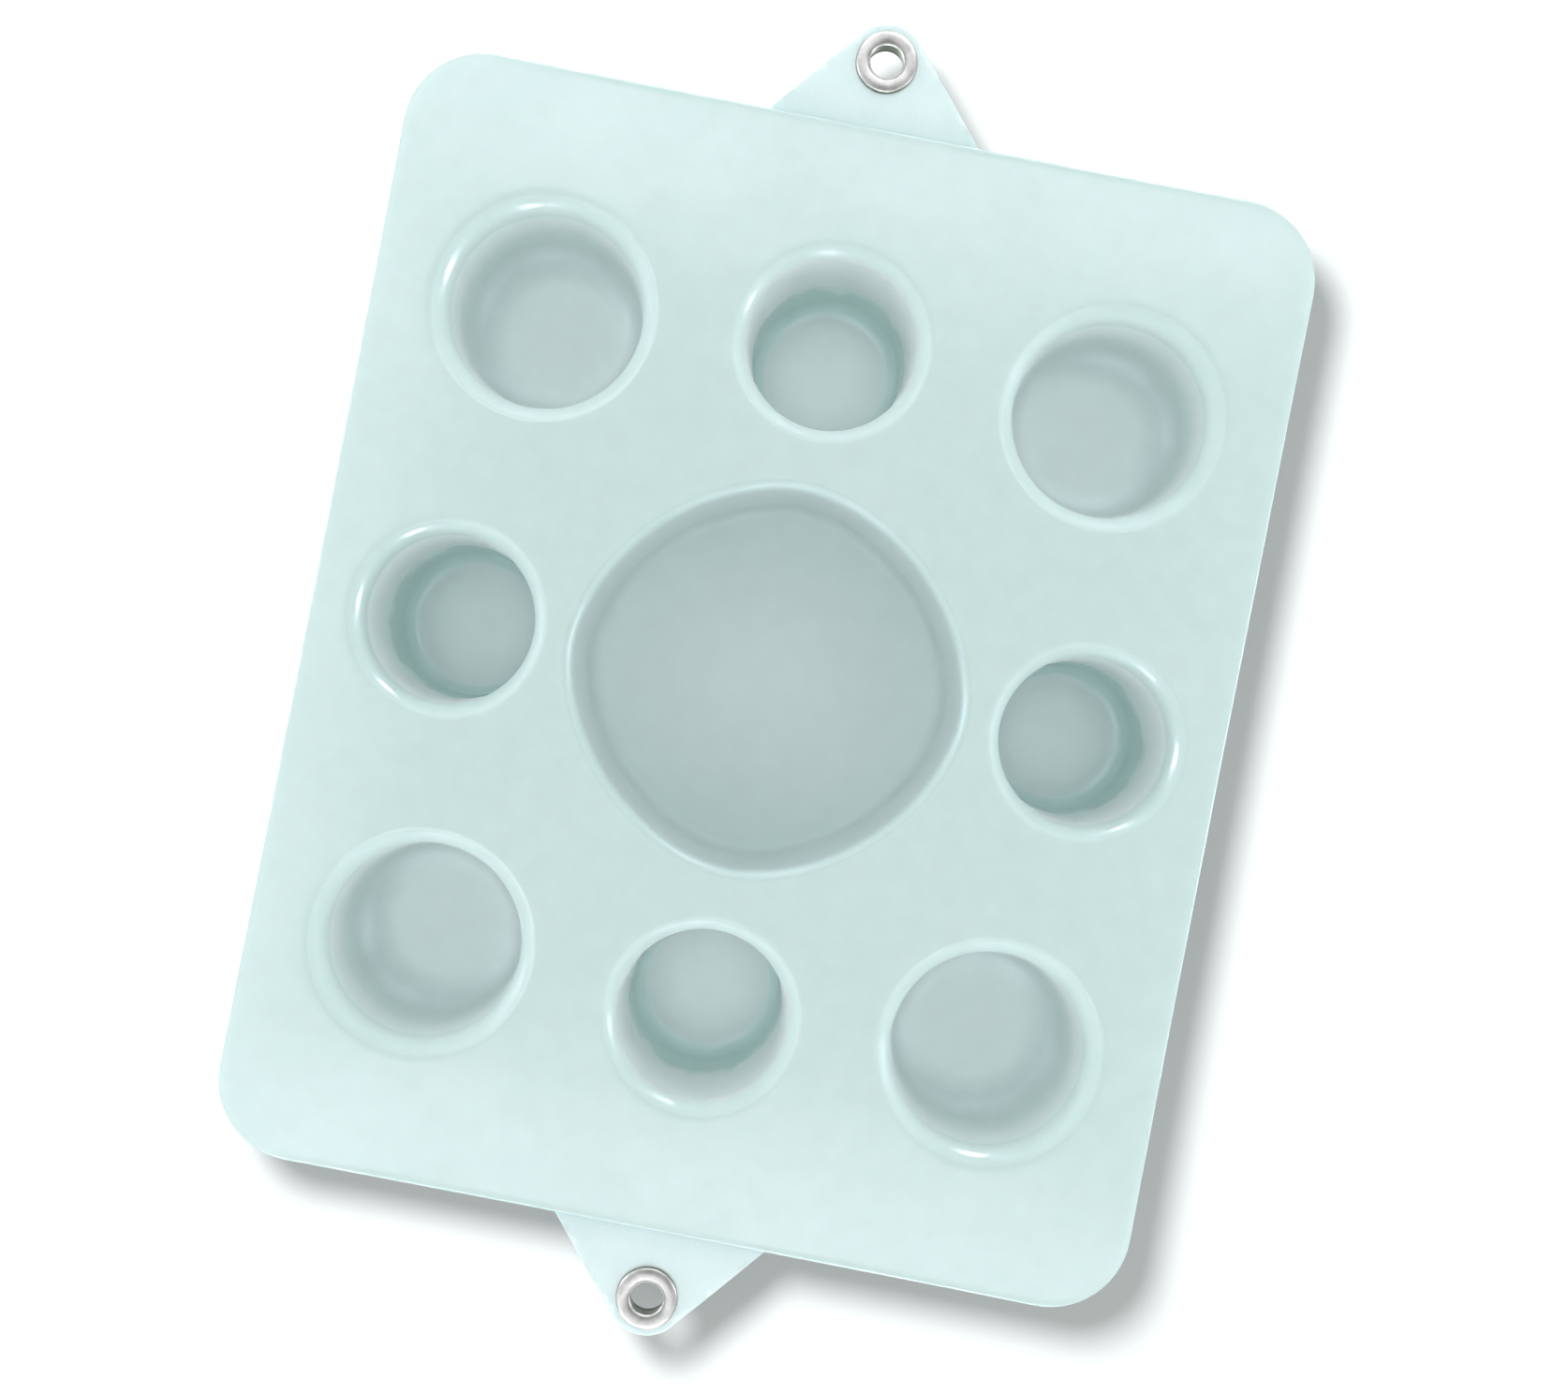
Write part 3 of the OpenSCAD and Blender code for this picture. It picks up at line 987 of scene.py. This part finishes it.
def plastic_colour(graph, place, base, pale, painted_shade_colour):
    tone = graph.attribute("tone")
    # cloudy variation of the resin, added to the lift, which is a painted sheen
    cloud = graph.noise(place, scale=38.0, detail=4.0, roughness=0.55)
    cloud = graph.scaled(cloud, gain=0.34, offset=-0.17)
    paleness = graph.math("ADD", graph.attribute("lift"), cloud, clamp=True)
    colour = graph.mix_colour(paleness, base, pale)
    # painted shading: below 1 goes towards a painted shade colour, above 1 towards a painted light
    # near-white
    colour = graph.mix_colour(graph.remap(tone, source=(1.0, 0.4)), colour, painted_shade_colour)
    painted_light_colour = (0.93, 0.97, 0.97, 1)
    colour = graph.mix_colour(graph.remap(tone, source=(1.0, 1.5)), colour, painted_light_colour)
    # painted tint of shade: the wells' insides lose some mint where they lie in shade
    painted_shade_grey = (1.0, 0.915, 0.922, 1)
    colour = graph.mix_colour(graph.attribute("grey"), colour, painted_shade_grey, blend="MULTIPLY")
    mottle = graph.remap(graph.noise(place, scale=260.0, detail=3.0), target=(0.96, 1.04))
    return graph.mix_colour(1.0, colour, mottle, blend="MULTIPLY")


def plastic_roughness(graph, place, rough):
    # gloss varies with handling
    handling = graph.noise(place, scale=55.0, detail=5.0)
    roughness = graph.remap(handling, source=(0.3, 0.7), target=(rough - 0.03, rough + 0.05))
    # fine hairline scuffs, seen only in the gloss
    stretched = graph.node(
        "ShaderNodeMapping",
        {"Vector": place, "Scale": (1.0, 14.0, 1.0), "Rotation": (0, 0, 0.6)},
    )
    scuffs = graph.noise(stretched.outputs["Vector"], scale=120.0, detail=2.0)
    scuffs = graph.remap(scuffs, source=(0.66, 0.76), target=(0.0, 0.05))
    roughness = graph.math("ADD", roughness, scuffs)
    # matte floors, where the former's sand-blasted base left its texture
    roughness = graph.scaled(graph.attribute("grey"), gain=0.34, offset=roughness)
    # lips rubbed dull by brushes
    return graph.scaled(graph.attribute("rub"), gain=0.34, offset=roughness, clamp=True)


def plastic_specular(graph):
    specular = graph.scaled(graph.attribute("rub"), gain=-0.24, offset=0.5)
    # a fine tooth on the flat face kills the mirror look when it is seen almost edge-on
    facing = graph.node("ShaderNodeLayerWeight", {"Blend": 0.5}).outputs["Facing"]
    grazing = graph.remap(facing, source=(0.25, 0.70))
    normal = graph.node("ShaderNodeNewGeometry").outputs["Normal"]
    normal_z = graph.node("ShaderNodeSeparateXYZ", {"Vector": normal}).outputs["Z"]
    flat = graph.remap(graph.math("ABSOLUTE", normal_z), source=(0.95, 0.99))
    dulling = graph.math("MULTIPLY", grazing, flat)
    return graph.math("MULTIPLY", specular, graph.scaled(dulling, gain=-0.96, offset=1.0))


def plastic(name, base, pale, rough, grain_strength, grain_scale, subsurface):
    """Moulded or sheet plastic, shaded by the meshes' painted shading, lift, grey and rub."""
    material = bpy.data.materials.new(name)
    graph = Graph(material)
    place = graph.coords()
    # surface: a fine grain under a slow ripple
    grain = graph.noise(place, scale=grain_scale)
    normal = graph.bump(grain, strength=grain_strength, distance=0.0001)
    ripple = graph.noise(place, scale=90.0, detail=1.0)
    normal = graph.bump(ripple, strength=0.25, distance=0.0004, normal=normal)
    graph.surface(
        {
            "Base Color": plastic_colour(graph, place, base, pale, painted_shade_colour=(0.16, 0.30, 0.29, 1)),
            "Roughness": plastic_roughness(graph, place, rough),
            "Specular IOR Level": plastic_specular(graph),
            "Normal": normal,
            "IOR": 1.49,
            "Subsurface Weight": subsurface,
            "Subsurface Radius": (0.9, 1.3, 1.2),
            "Subsurface Scale": 0.0012,
        }
    )
    return material


def nickel_plate(name):
    material = bpy.data.materials.new(name)
    graph = Graph(material)
    place = graph.coords()
    tarnish = graph.noise(place, scale=700.0, detail=4.0)
    colour = graph.ramp(
        tarnish,
        low=(0.285, 0.295, 0.252, 1),
        high=(0.43, 0.445, 0.380, 1),
        places=(0.3, 0.7),
    )
    grain = graph.noise(place, scale=2200.0)
    graph.surface(
        {
            # colour times the profile's painted shading: painted reflection and painted shade on
            # the metal
            "Base Color": graph.mix_colour(1.0, colour, graph.attribute("tone"), "MULTIPLY"),
            "Metallic": 1.0,
            "Roughness": graph.remap(tarnish, target=(0.40, 0.50)),
            "Normal": graph.bump(grain, strength=0.10, distance=0.00005),
        }
    )
    return material


def adhesive_film(name):
    material = bpy.data.materials.new(name)
    graph = Graph(material)
    cloud = graph.noise(graph.coords(), scale=400.0, detail=5.0)
    graph.surface(
        {
            "Base Color": graph.ramp(cloud, low=(0.62, 0.63, 0.58, 1), high=(0.80, 0.80, 0.76, 1)),
            "Roughness": 0.5,
            "Normal": graph.bump(cloud, strength=0.3, distance=0.00005),
        }
    )
    return material


mint = plastic(
    "mint_moulded_plastic",
    base=(0.555, 0.705, 0.682, 1),
    pale=(0.70, 0.82, 0.81, 1),
    rough=0.17,
    grain_strength=0.05,
    grain_scale=1500.0,
    subsurface=0.35,
)
vinyl = plastic(
    "mint_vinyl_sheet",
    base=(0.575, 0.725, 0.712, 1),
    pale=(0.69, 0.82, 0.815, 1),
    rough=0.40,
    grain_strength=0.30,
    grain_scale=2600.0,
    subsurface=0.3,
)
nickel = nickel_plate("nickel_plate")
glue = adhesive_film("adhesive_film")

for material, pieces in (
    (mint, [tray]),
    (vinyl, tabs.values()),
    (glue, pads.values()),
    (nickel, metal_rings),
):
    for piece in pieces:
        piece.data.materials.append(material)

# ------------------------------------------------------------------ what rides on what

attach(tray, "palette")
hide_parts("tray")
for end, side in ENDS:
    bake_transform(tabs[end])
    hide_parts(f"{end}_tab_root", f"{end}_tab_flap")
    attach(pads[end], "palette")
    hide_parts(f"{end}_bond_pad")

# ------------------------------------------------------------------ stage (metres from here on)

FLOOR_HALF = 3.0
FLOOR_Z = -0.0001


def build_floor():
    size = FLOOR_HALF
    mesh = bpy.data.meshes.new("studio_floor")
    corners = [(-size, -size, 0), (size, -size, 0), (size, size, 0), (-size, size, 0)]
    mesh.from_pydata(corners, [], [(0, 1, 2, 3)])
    built = bpy.data.objects.new("studio_floor", mesh)
    built.location.z = FLOOR_Z
    bpy.context.scene.collection.objects.link(built)
    paper = bpy.data.materials.new("pale_paper")
    Graph(paper).surface(
        {
            "Base Color": (0.410, 0.433, 0.431, 1),
            "Roughness": 1.0,
            "Specular IOR Level": 0.0,
        }
    )
    mesh.materials.append(paper)
    return built


floor = build_floor()

# ------------------------------------------------------------------ world

# The room, by how high a direction looks: a bright wall all round, a dim cove, an overhead panel
WALL, COVE, PANEL = 1.62, 0.33, 2.62
WALL_FADE = (0.36, 0.47)  # heights of direction where the wall gives way to the cove
PANEL_FADE = (0.84, 0.91)  # and the cove to the panel

# What the gloss sees: a dim middle overhead, and long softboxes past each edge of the plate.
# By tangent of the tilt: start to full, strength, start and end of the fade, share left after it
SHEEN_BASE = 0.50
SHEEN_LOW = 0.80  # the same low down
SHEEN_FADE = (0.40, 0.72)
END_BOX = dict(rise=(0.38, 0.575), strength=4.4, fade=(0.61, 0.655), left=0.16)
LEFT_BOX = dict(rise=(0.385, 0.455), strength=2.4, fade=(0.60, 0.90), left=0.5)
RIGHT_BOX = dict(rise=(0.41, 0.49), strength=1.1, fade=(0.60, 0.90), left=0.8)

# lamps low round the room: azimuth, elevation, half-angle (degrees), brightness
LAMPS = (
    (0, 22, 12, 22.0),
    (180, 22, 12, 22.0),
    (-77, 24, 10, 22.0),
    (-107, 24, 8, 22.0),
    (75, 24, 10, 22.0),
    (107, 24, 8, 22.0),
)
GLOSS_TINT = (1.0, 0.975, 1.13, 1)


def softbox(graph, tilt, rise, strength, fade, left):
    """A box that starts softly at one tilt and fades again past another."""
    return graph.math(
        "MULTIPLY",
        graph.ease(tilt, rise, (0.0, strength)),
        graph.ease(tilt, fade, (1.0, left)),
    )


def softboxes(graph, tilt_x, tilt_y):
    minus_x = graph.math("MULTIPLY", tilt_x, -1.0)
    minus_y = graph.math("MULTIPLY", tilt_y, -1.0)
    ends = graph.math(
        "MAXIMUM", softbox(graph, tilt_y, **END_BOX), softbox(graph, minus_y, **END_BOX)
    )
    # the end boxes are a little stronger to the left, the side boxes towards their ends
    ends = graph.math("MULTIPLY", ends, graph.ease(tilt_x, (-0.42, -0.02), (1.22, 1.0)))
    side_gain = graph.ease(graph.math("ABSOLUTE", tilt_y), (0.10, 0.34), (1.0, 1.45))
    left = graph.math("MULTIPLY", softbox(graph, minus_x, **LEFT_BOX), side_gain)
    right = graph.math("MULTIPLY", softbox(graph, tilt_x, **RIGHT_BOX), side_gain)
    return graph.math("MAXIMUM", ends, graph.math("MAXIMUM", left, right))


def lamp_glow(graph, direction, azimuth, elevation, half_angle, power):
    turn, height = math.radians(azimuth), math.radians(elevation)
    towards = (
        math.cos(turn) * math.cos(height),
        math.sin(turn) * math.cos(height),
        math.sin(height),
    )
    dot = graph.node("ShaderNodeVectorMath", {0: direction, 1: towards}, operation="DOT_PRODUCT")
    outer = math.cos(math.radians(half_angle * 1.25))
    core = math.cos(math.radians(half_angle * 0.6))
    return graph.ease(dot.outputs["Value"], (outer, core), (0.0, power))


def build_world():
    world = bpy.data.worlds.new("studio")
    bpy.context.scene.world = world
    graph = Graph(world)
    world.cycles.sampling_method = "NONE"
    direction = graph.coords("Generated")
    axes = graph.node("ShaderNodeSeparateXYZ", {0: direction}).outputs
    height = axes["Z"]

    wall = graph.ease(height, WALL_FADE, (WALL - COVE, 0.0))
    panel = graph.ease(height, PANEL_FADE, (0.0, PANEL - COVE))
    room = graph.math("ADD", graph.math("ADD", wall, panel), COVE)

    safe_height = graph.math("MAXIMUM", height, 0.05)
    tilt_x = graph.math("DIVIDE", axes["X"], safe_height)
    tilt_y = graph.math("DIVIDE", axes["Y"], safe_height)
    boxes = graph.math("ADD", softboxes(graph, tilt_x, tilt_y), SHEEN_BASE)
    surround = graph.ease(height, SHEEN_FADE, (SHEEN_LOW, SHEEN_BASE))
    gloss = graph.math("MAXIMUM", surround, boxes)
    for lamp in LAMPS:
        gloss = graph.math("ADD", gloss, lamp_glow(graph, direction, *lamp))

    glossy = graph.node("ShaderNodeLightPath").outputs["Is Glossy Ray"]
    graph.feed(
        graph.tree.nodes["Background"],
        {
            "Strength": graph.mix(glossy, room, gloss),
            "Color": graph.mix_colour(glossy, (1, 1, 1, 1), GLOSS_TINT),
        },
    )


build_world()

# ------------------------------------------------------------------ light and camera

CAMERA_HEIGHT = 0.1414  # above the tray's face
ROLL = math.radians(11.0)
VIEW_RIGHT = np.array([math.cos(ROLL), math.sin(ROLL)])
VIEW_UP = np.array([-math.sin(ROLL), math.cos(ROLL)])
EYE_Z = CAMERA_HEIGHT + TOP_Z * MM


def build_floor_key():
    """Lamp beside the lens, for the paper only: the soft shadow down and to the right."""
    lamp = bpy.data.lights.new("floor_key", "POINT")
    lamp.shadow_soft_size = 0.025
    lamp.energy = 1.0
    graph = Graph(lamp)
    falloff = graph.node("ShaderNodeLightFalloff", {"Strength": 98.0})
    graph.feed(graph.tree.nodes["Emission"], {"Strength": falloff.outputs["Constant"]})
    placed = bpy.data.objects.new("floor_key", lamp)
    offset = -VIEW_RIGHT * 0.041 + VIEW_UP * 0.050
    placed.location = (offset[0], offset[1], EYE_Z)
    bpy.context.scene.collection.objects.link(placed)
    receivers = bpy.data.collections.new("floor_only")
    receivers.objects.link(floor)
    placed.light_linking.receiver_collection = receivers


def build_camera():
    """Looks straight down, rolled about its axis."""
    data = bpy.data.cameras.new("camera")
    data.sensor_width = 36.0
    data.lens = 21.505376344
    data.shift_x = 0.011051373955
    data.shift_y = -0.010752688172
    data.clip_start = 0.005
    camera = bpy.data.objects.new("camera", data)
    camera.location = (0, 0, EYE_Z)
    camera.rotation_euler = (0, 0, ROLL)
    bpy.context.scene.collection.objects.link(camera)
    bpy.context.scene.camera = camera


build_floor_key()
build_camera()

view = bpy.context.scene.view_settings
view.view_transform = "Standard"
view.look = "None"
view.exposure = 0.0
view.gamma = 1.0
